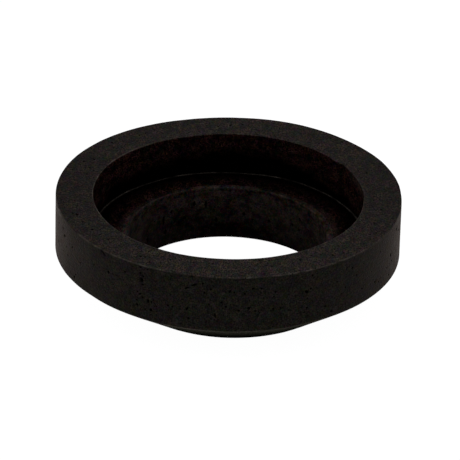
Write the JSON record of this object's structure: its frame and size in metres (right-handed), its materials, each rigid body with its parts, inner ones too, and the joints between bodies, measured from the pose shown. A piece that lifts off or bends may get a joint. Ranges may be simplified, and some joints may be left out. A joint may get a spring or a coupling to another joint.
{
  "type": "cistern gasket",
  "caption": "Tapered round sponge rubber gasket with a recess for a back nut, a through bore and a conical underside, which seals a close-coupled cistern to its pan.",
  "frame": {"origin": "centre of the flat foot at the narrow end of the cone, on which the gasket stands", "axes": "+Z along the gasket's axis, from the foot towards the open recess; the part is round about Z, so X and Y are free"},
  "size_m": [0.09, 0.09, 0.0266],
  "materials": {
    "sponge_rubber": "matt black moulded sponge rubber with fine open pores"
  },
  "bodies": {
    "root": {"gasket": "sponge_rubber"}
  },
  "joints": []
}
